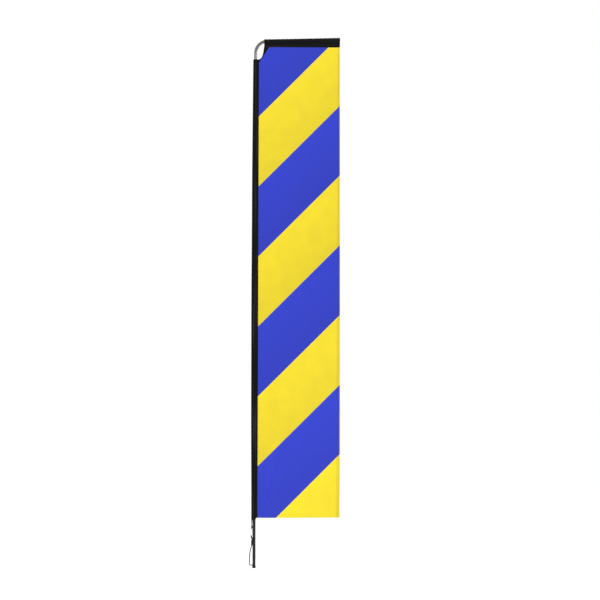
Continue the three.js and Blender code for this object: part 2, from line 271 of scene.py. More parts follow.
def smooth_route(points, spacing):
    """Evenly spaced points on the centripetal Catmull-Rom curve through some points, as the part draws it."""
    knots = [Vector(p) for p in points]
    knots = [2 * knots[0] - knots[1], *knots, 2 * knots[-1] - knots[-2]]
    dense = []
    for p0, p1, p2, p3 in zip(knots, knots[1:], knots[2:], knots[3:]):
        t0, t1 = 0.0, (p1 - p0).length ** 0.5
        t2 = t1 + (p2 - p1).length ** 0.5
        t3 = t2 + (p3 - p2).length ** 0.5
        for step in range(12):
            t = t1 + (t2 - t1) * step / 12
            a1 = p0.lerp(p1, (t - t0) / (t1 - t0))
            a2 = p1.lerp(p2, (t - t1) / (t2 - t1))
            a3 = p2.lerp(p3, (t - t2) / (t3 - t2))
            b1 = a1.lerp(a2, (t - t0) / (t2 - t0))
            b2 = a2.lerp(a3, (t - t1) / (t3 - t1))
            dense.append(b1.lerp(b2, (t - t1) / (t2 - t1)))
    dense.append(knots[-2])
    return resampled(dense, spacing)


def stand_in(piece, node, body):
    """Shows a finished piece in place of a CAD node, on the node's body."""
    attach(piece, body)
    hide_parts(node)


def resampled(points, spacing):
    """The same line as evenly spaced points."""
    lengths = [0.0]
    for a, b in zip(points, points[1:]):
        lengths.append(lengths[-1] + (b - a).length)
    count = max(2, round(lengths[-1] / spacing))
    out, k = [], 0
    for step in range(count + 1):
        want = lengths[-1] * step / count
        while k < len(points) - 2 and lengths[k + 1] < want:
            k += 1
        share = (want - lengths[k]) / max(lengths[k + 1] - lengths[k], 1e-9)
        out.append(points[k].lerp(points[k + 1], min(share, 1)))
    return out


def swept_rings(route, radius_at, sides):
    """Rings along a route that twist as little as they can. radius_at(angle, way) gives the surface."""
    last = len(route) - 1
    ways = [(route[min(i + 1, last)] - route[max(i - 1, 0)]).normalized() for i in range(last + 1)]
    side = ways[0].orthogonal().normalized()
    rings, along = [], 0.0
    for i, (place, way) in enumerate(zip(route, ways)):
        if i:
            side = ways[i - 1].rotation_difference(way) @ side
            along += (place - route[i - 1]).length
        other = way.cross(side)
        angles = [TAU * k / sides for k in range(sides)]
        rings.append(
            [place + radius_at(a, along) * (math.cos(a) * side + math.sin(a) * other) for a in angles]
        )
    return rings


BRAID_STRANDS = 8
BRAID_PITCH = 22 * MM
BRAID_RELIEF = 0.3 * MM


def braid(radius):
    """Surface of a braided cord: two families of strands that cross over and under each other."""

    def radius_at(angle, along):
        turn = TAU * along / BRAID_PITCH
        left = math.cos(BRAID_STRANDS * (angle + turn) / 2)
        right = math.cos(BRAID_STRANDS * (angle - turn) / 2)
        return radius - BRAID_RELIEF * (1 - max(abs(left), abs(right)))

    return radius_at


def braided_cord(name, route, radius, look):
    rings = swept_rings(route, braid(radius), 32)
    return ring_piece(name, rings, look, sharp=80)


def plate(name, outlines, depth, edge, look, place):
    """A flat plate with rounded edges from an outline and its holes, laid in a given place."""
    curve = bpy.data.curves.new(name, "CURVE")
    curve.dimensions = "2D"
    curve.fill_mode = "BOTH"
    curve.extrude = depth / 2 - edge
    curve.bevel_depth = edge
    curve.bevel_resolution = 2
    curve.offset = -edge
    for outline in outlines:
        spline = curve.splines.new("POLY")
        spline.points.add(len(outline) - 1)
        for point, (x, y) in zip(spline.points, outline):
            point.co = (x, y, 0, 1)
        spline.use_cyclic_u = True
    holder = bpy.data.objects.new(name + "_curve", curve)
    bpy.context.scene.collection.objects.link(holder)
    bpy.context.view_layer.update()
    flat = bpy.data.meshes.new_from_object(holder.evaluated_get(bpy.context.evaluated_depsgraph_get()))
    bpy.data.objects.remove(holder)
    mesh = bmesh.new()
    mesh.from_mesh(flat)
    bmesh.ops.remove_doubles(mesh, verts=mesh.verts, dist=1e-6)
    bmesh.ops.transform(mesh, matrix=place, verts=mesh.verts)
    return finish_mesh(name, mesh, look)


STITCH_LENGTH = 3.2 * MM
STITCH_PITCH = 4.2 * MM
THREAD_RADIUS = 0.28 * MM


def stitches(name, runs, look):
    """Rows of stitches. Each run is a list of (place, direction out of the cloth) along the seam."""
    mesh = bmesh.new()
    for run in runs:
        ends = zip(run, run[1:])
        for (first, out), (last, _) in ends:
            way = (last - first).normalized()
            gap = (last - first).length * (1 - STITCH_LENGTH / STITCH_PITCH) / 2
            low, high = first + way * gap, last - way * gap
            side = way.cross(out).normalized() * THREAD_RADIUS
            lift = out * THREAD_RADIUS
            crown = [low.lerp(high, share) for share in (0.25, 0.75)]
            rings = [[p + side, p + lift * 1.6, p - side, p - lift] for p in crown]
            start, end = mesh.verts.new(low - lift), mesh.verts.new(high - lift)
            rows = [[mesh.verts.new(p) for p in ring] for ring in rings]
            for i in range(4):
                j = (i + 1) % 4
                mesh.faces.new((start, rows[0][j], rows[0][i]))
                mesh.faces.new((rows[0][i], rows[0][j], rows[1][j], rows[1][i]))
                mesh.faces.new((end, rows[1][i], rows[1][j]))
    return finish_mesh(name, mesh, look)


def seam_run(places, out):
    """Stitch places, evenly spaced along a line on the cloth, with the direction out of it."""
    return [(place, out) for place in resampled(places, STITCH_PITCH)]


# ---------------------------------------------------------------- materials


class Look:
    """A material under construction: its nodes, and the principled shader that they end in."""

    def __init__(self, name, **sockets):
        self.material = bpy.data.materials.new(name)
        self.material.use_nodes = True
        self.tree = self.material.node_tree
        self.shader = self.tree.nodes["Principled BSDF"]
        for socket, value in sockets.items():
            self.shader.inputs[socket.replace("_", " ")].default_value = value
        self.coordinates = self.new("TexCoord")
        self.parts = None

    def new(self, kind, **settings):
        node = self.tree.nodes.new("ShaderNode" + kind)
        for name, value in settings.items():
            setattr(node, name, value)
        return node

    def put(self, socket, value):
        """Links a socket to another's output, or sets its value."""
        if isinstance(value, bpy.types.NodeSocket):
            self.tree.links.new(value, socket)
        elif isinstance(value, tuple) and len(value) == 3 and socket.type == "RGBA":
            socket.default_value = (*value, 1)
        else:
            socket.default_value = value

    def set(self, socket, value):
        self.put(self.shader.inputs[socket], value)

    def math(self, operation, *values):
        node = self.new("Math", operation=operation)
        for socket, value in zip(node.inputs, values):
            self.put(socket, value)
        return node.outputs[0]

    def mix(self, share, first, second):
        node = self.new("Mix", data_type="RGBA")
        self.put(node.inputs[0], share)
        self.put(node.inputs[6], first)
        self.put(node.inputs[7], second)
        return node.outputs[2]

    def span(self, value, low, high, to_low=0.0, to_high=1.0, smooth=False):
        """A value carried from one range to another and held at its ends."""
        node = self.new("MapRange", interpolation_type="SMOOTHSTEP" if smooth else "LINEAR")
        for socket, given in zip(node.inputs, (value, low, high, to_low, to_high)):
            self.put(socket, given)
        return node.outputs[0]

    def noise(self, scale, detail=2.0, stretch=(1, 1, 1), space="Object"):
        node = self.new("TexNoise")
        node.inputs["Scale"].default_value = scale
        node.inputs["Detail"].default_value = detail
        mapping = self.new("Mapping")
        mapping.inputs["Scale"].default_value = stretch
        if space == "Metres":
            place = self.new("UVMap", uv_map="Metres").outputs[0]
        else:
            place = self.coordinates.outputs[space]
        self.put(mapping.inputs["Vector"], place)
        self.put(node.inputs["Vector"], mapping.outputs[0])
        return node.outputs["Fac"]

    def metres(self):
        """The two UV coordinates in metres: round or across, and along."""
        node = self.new("UVMap", uv_map="Metres")
        split = self.new("SeparateXYZ")
        self.put(split.inputs[0], node.outputs[0])
        return split.outputs[0], split.outputs[1]

    def place(self):
        """The three coordinates in the object's frame."""
        if self.parts is None:
            self.parts = self.new("SeparateXYZ")
            self.put(self.parts.inputs[0], self.coordinates.outputs["Object"])
        return self.parts.outputs

    def bump(self, *layers):
        """Stacks bump layers, each (height, depth in metres)."""
        normal = None
        for height, depth in layers:
            node = self.new("Bump")
            node.inputs["Distance"].default_value = depth
            node.inputs["Strength"].default_value = 1.0
            self.put(node.inputs["Height"], height)
            if normal is not None:
                self.put(node.inputs["Normal"], normal)
            normal = node.outputs[0]
        self.set("Normal", normal)

    def waves(self, value, pitch, phase=0.0):
        """A wave from 0 to 1 of a given pitch in metres."""
        turned_by = self.math("MULTIPLY_ADD", value, TAU / pitch, phase)
        return self.math("MULTIPLY_ADD", self.math("SINE", turned_by), 0.5, 0.5)


def weave(look, across, along, pitch):
    """Height of a plain weave: warp and weft threads that cross over and under."""
    warp = look.waves(across, pitch)
    weft = look.waves(along, pitch)
    over = look.waves(look.math("ADD", across, along), 2 * pitch)
    warp_on_top = look.math("MULTIPLY", warp, over)
    weft_on_top = look.math("MULTIPLY", weft, look.math("SUBTRACT", 1.0, over))
    return look.math("ADD", warp_on_top, weft_on_top)


def black_cloth_look():
    """Black woven polyester with a faint sheen, soft lighter streaks of painted sheen highlight, threads
    painted a little lighter on their crowns as highlight, and a little lint.
    """
    look = Look("black_cloth", Specular_IOR_Level=0.08, Sheen_Weight=0.008, Sheen_Roughness=0.4)
    across, along = look.metres()
    threads = weave(look, across, along, 1.1 * MM)
    painted_sheen_streaks = look.noise(1.0, 4, stretch=(110, 2.0, 1), space="Metres")
    lint = look.span(look.noise(520, 2), 0.70, 0.78)
    # the lighter streaks are a painted sheen highlight running down the cloth
    colour = look.mix(look.span(painted_sheen_streaks, 0.52, 0.78), (0.003, 0.003, 0.0035), (0.035, 0.035, 0.037))
    # raised threads are painted lighter: painted highlight on the weave's crowns
    colour = look.mix(look.math("MULTIPLY", threads, 0.2), colour, (0.012, 0.012, 0.014))
    colour = look.mix(look.math("MULTIPLY", lint, 0.25), colour, (0.12, 0.12, 0.12))
    look.set("Base Color", colour)
    look.set("Roughness", look.span(painted_sheen_streaks, 0.2, 0.8, 0.72, 0.46))
    look.bump((threads, 0.16 * MM), (look.noise(34, 3), 0.6 * MM))
    return look.material


def webbing_look():
    """Black ribbed webbing, painted darker between its ribs as shade and lighter on their crowns as
    highlight.
    """
    look = Look("webbing", Roughness=0.7, Specular_IOR_Level=0.3, Sheen_Weight=0.08)
    across, along = look.metres()
    ribs = look.waves(along, 1.9 * MM)
    twill = look.waves(look.math("ADD", across, along), 2.6 * MM)
    height = look.math("ADD", ribs, look.math("MULTIPLY", twill, 0.6))
    # colour follows the ribs' height: painted shade in the grooves, painted highlight on the crowns
    look.set("Base Color", look.mix(look.span(height, 0, 1.6), (0.006, 0.006, 0.006), (0.03, 0.03, 0.032)))
    look.bump((height, 0.35 * MM), (look.noise(300, 2), 0.1 * MM))
    return look.material


def cord_look():
    """Black braided elastic with fine fibres along each strand, painted paler on the crowns as highlight and
    darker in the grooves as shade, and paler worn patches.
    """
    look = Look("elastic_cord", Roughness=0.66, Specular_IOR_Level=0.15, Sheen_Weight=0.03)
    across, along = look.metres()
    left = look.waves(look.math("MULTIPLY_ADD", along, 1.15, across), 0.7 * MM)
    right = look.waves(look.math("MULTIPLY_ADD", along, -1.15, across), 0.7 * MM)
    fibres = look.math("MULTIPLY", left, right)
    wear = look.span(look.noise(140, 4), 0.45, 0.75)
    # colour follows the braid's relief: painted highlight on the crowns, painted shade in the grooves
    colour = look.mix(fibres, (0.006, 0.006, 0.006), (0.028, 0.028, 0.028))
    colour = look.mix(look.math("MULTIPLY", wear, 0.5), colour, (0.06, 0.058, 0.055))
    look.set("Base Color", colour)
    look.bump((fibres, 0.12 * MM))
    return look.material


def plastic_look():
    """Moulded black plastic with a fine spark texture and rubbed patches."""
    look = Look("plastic", Roughness=0.5, Specular_IOR_Level=0.16)
    rubbed = look.span(look.noise(60, 4), 0.5, 0.72)
    look.set("Base Color", look.mix(rubbed, (0.004, 0.004, 0.004), (0.016, 0.016, 0.016)))
    look.set("Roughness", look.span(rubbed, 0, 1, 0.58, 0.38))
    look.bump((look.noise(2600, 2), 0.05 * MM), (look.noise(90, 2), 0.08 * MM))
    return look.material


def metal_look(name, dark, light, roughness, stretch, space="Object", scuffs=0.25):
    """Drawn or brushed metal: fine lines one way, and scuffs that dull it in patches."""
    look = Look(name, Metallic=1.0)
    lines = look.noise(1.0, 3, stretch=stretch, space=space)
    patches = look.span(look.noise(26, 4), 0.42, 0.68)
    colour = look.mix(look.span(lines, 0.3, 0.7), dark, light)
    worn = tuple(0.8 * c for c in light)
    look.set("Base Color", look.mix(look.math("MULTIPLY", patches, scuffs), colour, worn))
    spread = look.math("MULTIPLY_ADD", lines, 0.16, roughness - 0.08)
    look.set("Roughness", look.math("MULTIPLY_ADD", patches, 0.1, spread))
    look.bump((lines, 0.02 * MM), (look.noise(420, 2), 0.015 * MM))
    return look.material


def pole_look():
    """Dark grey anodised tube, drawn lengthwise, with pale scratches near its foot."""
    look = Look("pole_tube", Metallic=0.75)
    lines = look.noise(1.0, 3, stretch=(900, 900, 3))
    height = look.place()[2]
    near_foot = look.span(height, 0.05, 0.3, 1, 0)
    scratch = look.span(look.noise(1.0, 4, stretch=(520, 520, 16)), 0.62, 0.72)
    scratch = look.math("MULTIPLY", scratch, near_foot)
    colour = look.mix(look.span(lines, 0.3, 0.7), (0.013, 0.013, 0.0125), (0.034, 0.034, 0.032))
    look.set("Base Color", look.mix(look.math("MULTIPLY", scratch, 0.45), colour, (0.16, 0.16, 0.155)))
    look.set("Roughness", look.span(lines, 0.2, 0.8, 0.34, 0.46))
    look.bump((lines, 0.02 * MM))
    return look.material


YELLOW = (0.96, 0.76, 0.016)
SHADED_YELLOW = (0.37, 0.29, 0.010)
BLUE = (0.024, 0.046, 0.62)
DARK_BLUE = (0.004, 0.010, 0.13)
BAND_WIDTH = 420 * MM
BAND_FADE = 0.22
INK_EDGE = 0.4 * MM


def print_look():
    """Knitted polyester, printed with even bands of blue and yellow at 45 degrees."""
    look = Look("print_cloth", Specular_IOR_Level=0.12, Sheen_Weight=0.02, Sheen_Roughness=0.4)
    x, _, z = look.place()
    across = look.math("MULTIPLY_ADD", x, 1 / PRINT_WIDTH, -SEAM_X / PRINT_WIDTH)

    # how far a place is past the top corner at the seam, square to the bands
    square = math.sqrt(0.5)
    past_corner = look.math("MULTIPLY_ADD", x, square, (SEAM_TOP - SEAM_X) * square)
    past_corner = look.math("MULTIPLY_ADD", z, -square, past_corner)
    # 0 in the middle of a yellow band, and BAND_WIDTH in the middle of a blue one
    toward_blue = look.math("PINGPONG", look.math("ADD", past_corner, BAND_WIDTH / 2), BAND_WIDTH)
    is_blue = look.span(toward_blue, BAND_WIDTH / 2 - INK_EDGE, BAND_WIDTH / 2 + INK_EDGE)

    # each band is a little deeper in colour towards its lower edge
    fade = look.math("FRACT", look.math("MULTIPLY", past_corner, 1 / BAND_WIDTH))
    fade = look.math("MULTIPLY", fade, BAND_FADE)
    yellow = look.mix(fade, YELLOW, SHADED_YELLOW)
    blue = look.mix(fade, BLUE, DARK_BLUE)
    colour = look.mix(is_blue, yellow, blue)
    # darker strip over the fly edge's hem: painted shade of the folded double cloth
    colour = look.mix(look.span(across, 0.965, 0.985, 0, 0.16), colour, (0.05, 0.03, 0.0))

    # the ink is a little uneven, and the knit shows as columns of tiny loops, whose tops are painted lighter
    # as highlight
    ink = look.span(look.noise(9, 4), 0.3, 0.7, 0.0, 0.07)
    colour = look.mix(ink, colour, (0.02, 0.02, 0.05))
    courses = look.waves(z, 1.3 * MM)
    wales = look.waves(x, 1.0 * MM)
    knit = look.math("MULTIPLY", courses, wales)
    # painted highlight on the tops of the knit's loops
    colour = look.mix(look.math("MULTIPLY", knit, 0.06), colour, (1.0, 1.0, 1.0))
    look.set("Base Color", colour)
    look.set("Roughness", look.span(look.noise(40, 3), 0.2, 0.8, 0.66, 0.8))
    look.bump((knit, 0.12 * MM), (look.noise(22, 3), 0.5 * MM))
    return look.material


def thread_look(name, colour):
    look = Look(name, Roughness=0.55, Sheen_Weight=0.3)
    twist = look.noise(1800, 2)
    look.set("Base Color", look.mix(look.span(twist, 0.3, 0.7), tuple(0.6 * c for c in colour), colour))
    look.bump((twist, 0.05 * MM))
    return look.material


# ---------------------------------------------------------------- the banner's shape


def sleeve_outline(radius, seam_distance, slack, count):
    """Outline of a sleeve about its tube, as the part draws it: a circle drawn out to a seam on one side."""
    tangent = math.acos(radius / seam_distance)
    points = []
    for i in range(count):
        angle = TAU * i / count
        from_seam = min(angle, TAU - angle)
        tight = radius / math.cos(tangent - from_seam) if from_seam < tangent else radius
        reach = tight + slack * ((1 - math.cos(angle)) / 2) ** 3
        points.append((reach * math.cos(angle), reach * math.sin(angle)))
    return points


def billow(across, down):
    """How far the panel stands behind the plane of pole and arm, as the part has it."""
    held = across * (1 - math.exp(-5 * down))
    return BILLOW_DEPTH * held * math.sin(TAU * (0.9 * down + 0.35 * across))


def smoothstep(value, low, high):
    share = min(1, max(0, (value - low) / (high - low)))
    return share * share * (3 - 2 * share)


def cloth_folds(across, down):
    """Small folds on top of the billow: puckers along the two seams, and drag lines off the low corner."""
    along = down * PANEL_HEIGHT
    pucker = 0.9 * MM * math.exp(-across / 0.05) * math.sin(TAU * along / 0.046 + 1.3 * math.sin(along * 5.1))
    pucker *= smoothstep(down, 0.04, 0.08)
    top = 1.6 * MM * math.exp(-down / 0.006) * math.sin(TAU * across / 0.067 + 0.8 * math.sin(across * 21))
    top *= 1 - math.exp(-down / 0.003)
    top *= smoothstep(across, 0.16, 0.22)
    fan = math.atan2(across * PRINT_WIDTH, (1.02 - down) * PANEL_HEIGHT)
    drag = 2.2 * MM * math.sin(fan * 30) * smoothstep(down, 0.45, 0.9) * math.exp(-across / 0.4)
    drag *= 1 - math.exp(-across / 0.05)
    loose = 3.0 * MM * smoothstep(across, 0.25, 1) * math.sin(TAU * (along / 0.62 + across * 0.8))
    loose *= smoothstep(down, 0.03, 0.2)
    return pucker + top + drag + loose


HEM = 12 * MM
CLOTH = 0.5 * MM
SLEEVE_CLOTH = 0.45 * MM


def spread_shares(count, hem_share):
    """Even shares from 0 to 1, with the last stretch divided again for the hem."""
    even = [(1 - hem_share) * i / count for i in range(count + 1)]
    return even + [1 - hem_share * (1 - s) for s in (0.08, 0.35, 0.65, 0.92, 1)]


def panel_place(across, down):
    """A place on the middle of the panel's cloth, across from the cut edge or the seam to the fly edge."""
    left = SEAM_X + CUT_WIDTH * max(0, 1 - down * PANEL_HEIGHT / CUT_HEIGHT)
    right = SEAM_X + PRINT_WIDTH + PANEL_FLARE * down
    x = left + across * (right - left)
    share = (x - SEAM_X) / (right - SEAM_X)
    y = billow(share, down) + cloth_folds(share, down)
    return Vector((x, y, SEAM_TOP - down * PANEL_HEIGHT))


def add_banner(looks):
    """The printed panel: one closed sheet with folded hems at its fly edge and foot, and their stitching."""
    columns = spread_shares(78, HEM / PRINT_WIDTH)
    rows = spread_shares(380, HEM / PANEL_HEIGHT)
    mesh = bmesh.new()
    layer = mesh.loops.layers.uv.new("OFBake")
    faces_by_side = []
    middle = [[panel_place(a, d) for a in columns] for d in rows]
    hem_column = 1 - 0.95 * HEM / PRINT_WIDTH
    hem_row = 1 - 0.95 * HEM / PANEL_HEIGHT
    thick = [[CLOTH * (2 if a > hem_column or d > hem_row else 1) for a in columns] for d in rows]
    for side in (-1, 1):
        grid = [
            [mesh.verts.new(p + Vector((0, side * t / 2, 0))) for p, t in zip(*line)]
            for line in zip(middle, thick)
        ]
        faces_by_side.append(grid)
        for r in range(len(rows) - 1):
            for c in range(len(columns) - 1):
                corners = ((r, c), (r + 1, c), (r + 1, c + 1), (r, c + 1))
                face = mesh.faces.new([grid[k][i] for k, i in corners])
                for loop, (k, i) in zip(face.loops, corners):
                    loop[layer].uv = bake_place(side, r, columns[i], rows[k], rows)
    front, back = faces_by_side
    edge = [(0, c) for c in range(len(columns))] + [(r, len(columns) - 1) for r in range(1, len(rows))]
    edge += [(len(rows) - 1, c) for c in range(len(columns) - 2, -1, -1)]
    edge += [(r, 0) for r in range(len(rows) - 2, 0, -1)]
    for (r, c), (s, d) in zip(edge, [*edge[1:], edge[0]]):
        face = mesh.faces.new((front[r][c], front[s][d], back[s][d], back[r][c]))
        half = min(r, s)
        for loop, (k, i) in zip(face.loops, ((r, c), (s, d), (s, d), (r, c))):
            loop[layer].uv = bake_place(-1, half, columns[i], rows[k], rows)
    banner = finish_mesh("banner_cloth", mesh, looks["print"], sharp=60)
    stand_in(banner, "banner_panel", "top")

    runs = []
    for side in (-1, 1):
        out = Vector((0, side, 0))
        lift = out * (CLOTH + 0.1 * MM)
        inset = HEM * 0.8
        last_column = 1 - inset / PRINT_WIDTH
        last_row = 1 - inset / PANEL_HEIGHT
        fly = [panel_place(last_column, d) + lift for d in rows if d < last_row]
        foot = [panel_place(a, last_row) + lift for a in columns if a < last_column]
        runs += [seam_run(fly, out), seam_run(foot, out)]
    sewing = stitches("hem_stitching", runs, looks["pale_thread"])
    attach(sewing, "top")


# Start and width of each strip of the banner's bake map, by side (-1 is printed) and upper half or not.
BAKE_STRIPS = {
    (-1, True): (0.0, 0.29),
    (-1, False): (0.3, 0.29),
    (1, True): (0.6, 0.195),
    (1, False): (0.8, 0.195),
}


def bake_place(side, row, across, down, rows):
    """Where a place on the banner lies in its bake map: each side in two strips, the printed side wider."""
    middle = rows[len(rows) // 2]
    upper = rows[row] < middle
    start, width = BAKE_STRIPS[side, upper]
    share = down / middle if upper else (down - middle) / (1 - middle)
    return start + 0.003 + across * (width - 0.004), 0.998 - 0.996 * share


def wrinkle(angle, along):
    """Soft lengthwise folds in a sleeve that wander round it, and short cross puckers."""
    long_folds = 0.9 * MM * math.sin(3 * angle + 1.4 * math.sin(along * 2.3) + along * 1.1)
    cross = 0.35 * MM * math.sin(TAU * along / 0.037 + 2.2 * math.sin(2 * angle))
    return (long_folds + cross) * smoothstep(1 - math.cos(angle), 0.25, 1.2)


def sleeve_pair(frame_at, stations, radius, seam_distance, slack_at):
    """Outer and inner rings of a cloth sleeve. frame_at(share) gives a centre and its two directions."""
    count = 72
    outer, inner = [], []
    for share, along, thickness in stations:
        centre, toward, across = frame_at(share)
        outline = sleeve_outline(radius, seam_distance(share), slack_at(share), count)
        for rings, inset in ((outer, 0), (inner, thickness)):
            ring = []
            for i, (u, v) in enumerate(outline):
                reach = Vector((u, v))
                size = reach.length + wrinkle(TAU * i / count, along) - inset
                reach = reach.normalized() * size
                ring.append(centre(reach.x) + toward * reach.x + across * reach.y)
            rings.append(ring)
    return outer, inner


def sleeve_piece(name, outer, inner, looks):
    """A sleeve's cloth, closed from its outer rings back through its inner ones."""
    rings = [*outer, *reversed(inner)]
    return ring_piece(name, rings, looks["black"], capped=False, along=True, sharp=70)


def hem_stations(length, count, cloth, hem):
    """Shares along a sleeve with the cloth's thickness, doubled where its two ends are turned back."""
    marks = [0, 0.3 * hem, hem * 0.98, hem * 1.02]
    middle = [hem + (length - 2 * hem) * i / count for i in range(1, count)]
    places = marks + middle + [length - m for m in reversed(marks)]
    return [(p / length, p, cloth * (2 if p < hem or p > length - hem else 1)) for p in sorted(places)]


def add_side_sleeve(looks):
    """Black sleeve round the pole, slack in its middle, with its foot cut on a slant and both ends hemmed."""
    length = SLEEVE_HEAD - SLEEVE_FOOT

    def slack_at(share):
        return LEAST_SLACK + (MOST_SLACK - LEAST_SLACK) * math.sin(math.pi * min(1, 0.15 + share * 0.85))

    def frame_at(share):
        lift = math.exp(-share * length / 0.03)

        def centre(toward):
            rise = SLEEVE_FOOT_DROP * smoothstep(toward, 0, SEAM_X) * lift
            return Vector((0, 0, SLEEVE_FOOT + length * share + rise))

        return centre, Vector((1, 0, 0)), Vector((0, 1, 0))

    def seam_distance(_):
        return SEAM_X - GAP

    stations = hem_stations(length, 330, SLEEVE_CLOTH, 14 * MM)
    outer, inner = sleeve_pair(frame_at, stations, SLEEVE_RADIUS, seam_distance, slack_at)
    sleeve = sleeve_piece("side_sleeve_cloth", outer, inner, looks)
    stand_in(sleeve, "side_sleeve", "top")

    tape = add_seam_tape(looks)


TAPE_DEPTH = 0.9 * MM  # half the thickness of a seam's folded tape


def tape_outline(low, high):
    """Section of a folded tape: a box with soft edges."""
    soft = 0.5 * MM
    corners = [(low[0], low[1]), (high[0], low[1]), (high[0], high[1]), (low[0], high[1])]
    return rounded([(*corner, soft) for corner in corners], 2)


def add_seam_tape(looks):
    """Flat-felled seam that joins sleeve and panel: a folded tape with a row of stitches on each side."""
    half, depth = 4.5 * MM, TAPE_DEPTH
    foot, head = PANEL_LOW.z, SLEEVE_HEAD - 1 * MM
    outline = tape_outline((-half, -depth), (half, depth))
    rings = []
    for k in range(201):
        z = foot + (head - foot) * k / 200
        shift = cloth_folds(0.002, (SEAM_TOP - z) / PANEL_HEIGHT)
        rings.append([Vector((SEAM_X - 1.5 * MM + u, shift + v, z)) for u, v in outline])
    tape = ring_piece("seam_tape", rings, looks["black"], sharp=60)
    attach(tape, "top")
    runs = []
    for side in (-1, 1):
        out = Vector((0, side, 0))
        line = [
            Vector((SEAM_X + 1.2 * MM, cloth_folds(0.002, (SEAM_TOP - r[0].z) / PANEL_HEIGHT), r[0].z))
            + out * (depth + 0.1 * MM)
            for r in rings
        ]
        runs.append(seam_run(line, out))
    sewing = stitches("seam_stitching", runs, looks["black_thread"])
    sewing.parent = tape
    return tape


def arm_height(x):
    """Height of the arm's axis, which rises a little towards its end."""
    return BEND_END.z + (x - BEND_END.x) * math.tan(ARM_RISE)


def add_top_sleeve(looks):
    """Black sleeve round the arm, drawn down to the panel's top seam, with its start hemmed."""
    length = TOP_SLEEVE_END - TOP_SLEEVE_START
    radius = SLEEVE_RADIUS + 1 * MM

    def frame_at(share):
        x = TOP_SLEEVE_START + length * share

        def centre(_):
            return Vector((x, 0, arm_height(x)))

        return centre, Vector((0, 0, -1)), Vector((0, 1, 0))

    def seam_distance(share):
        return arm_height(TOP_SLEEVE_START + length * share) - SEAM_TOP - GAP

    def slack_at(_):
        return 0

    stations = hem_stations(length, 90, SLEEVE_CLOTH, 12 * MM)
    outer, inner = sleeve_pair(frame_at, stations, radius, seam_distance, slack_at)
    sleeve = sleeve_piece("top_sleeve_cloth", outer, inner, looks)
    stand_in(sleeve, "top_sleeve", "top")

    depth = TAPE_DEPTH
    outline = tape_outline((-depth, SEAM_TOP - 3 * MM), (depth, SEAM_TOP + 3 * MM))
    start, end = TOP_SLEEVE_START + 1 * MM, TOP_SLEEVE_END
    rings = [[Vector((start + (end - start) * k / 60, y, z)) for y, z in outline] for k in range(61)]
    tape = ring_piece("top_seam_tape", rings, looks["black"], sharp=60)
    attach(tape, "top")
    runs = []
    for side in (-1, 1):
        out = Vector((0, side, 0))
        line = [Vector((x, 0, SEAM_TOP - 1.2 * MM)) + out * (depth + 0.1 * MM) for x in (start, end)]
        runs.append(seam_run(line, out))
    sewing = stitches("top_seam_stitching", runs, looks["black_thread"])
    sewing.parent = tape


def add_end_patch(looks):
    """Closed right end of the top sleeve: a patch that bulges over the arm's cap, with a piped edge."""
    low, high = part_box("end_patch")
    centre = Vector((low.x, 0, arm_height(high.x)))
    outline = sleeve_outline(SLEEVE_RADIUS + 1 * MM, centre.z - SEAM_TOP, 0, 72)
    depth = high.x - low.x
    # Size of each ring as a share of the outline, and its place as a share of the patch's depth.
    piped_edge = [(0.90, -0.4), (0.96, -0.4), (0.97, 0), (1.0, 0.12), (1.02, 0.35), (1.0, 0.6), (0.95, 0.72)]
    bulge = [(0.9, 0.7), (0.75, 0.9), (0.5, 1.1), (0.25, 1.25), (0.05, 1.3)]
    rings = []
    for scale, x in piped_edge + bulge:
        rings.append([centre + Vector((x * depth, v * scale, -u * scale)) for u, v in outline])
    patch = ring_piece("sleeve_end_patch", rings, looks["black"], sharp=80)
    stand_in(patch, "end_patch", "top")


def add_corner_binding(looks):
    """Tape that binds the cut corner, with its outer edge scooped towards the elbow, and two stitch rows."""
    tuck = 1.6 * MM  # sewn this far into the two sleeves' seams
    cut_foot = Vector((SEAM_X - tuck, SEAM_TOP - CUT_HEIGHT - 1.5 * tuck))
    cut_head = Vector((SEAM_X + CUT_WIDTH + tuck, SEAM_TOP + tuck))
    scoop = [
        Vector((TOP_SLEEVE_START, SEAM_TOP + tuck)),
        Vector((TOP_SLEEVE_START - 6 * MM, SEAM_TOP - 60 * MM)),
        Vector((SEAM_X + 30 * MM, SLEEVE_HEAD + 6 * MM)),
        Vector((SEAM_X - tuck, SLEEVE_HEAD)),
    ]
    count = 60
    rings = []
    for k in range(count + 1):
        t = k / count
        inner = cut_head.lerp(cut_foot, t)
        a, b, c, d = scoop
        outer = a * (1 - t) ** 3 + b * 3 * t * (1 - t) ** 2 + c * 3 * t * t * (1 - t) + d * t**3
        ripple = 0.25 * MM * math.sin(t * 40) + 0.5 * MM * math.sin(t * 9)
        section = [(0.0, 0.5), (0.04, 0.75), (0.5, 0.55), (0.9, 0.6), (0.97, 1.15), (1.03, 1.0), (1.05, 0)]
        section += [(s, -h) for s, h in reversed(section[:-1])]
        rings.append([cloth_point(inner.lerp(outer, s), h * MM + ripple) for s, h in section])
    binding = ring_piece("corner_binding_tape", rings, looks["black"], sharp=70)
    stand_in(binding, "corner_binding", "top")
    runs = []
    for side in (-1, 1):
        for share in (0.12, 0.88):
            line = []
            for ring in rings:
                line.append(ring[0].lerp(ring[6], share) + Vector((0, side * 0.85 * MM, 0)))
            runs.append(seam_run(line, Vector((0, side, 0))))
    sewing = stitches("binding_stitching", runs, looks["black_thread"])
    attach(sewing, "top")


def cloth_point(point, depth):
    """A flat (across, height) point, set at a depth in front of or behind the cloth."""
    return Vector((point.x, depth, point.y))


# ---------------------------------------------------------------- pole, elbow and arm


def node_span(node):
    low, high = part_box(node)
    return low.z, high.z


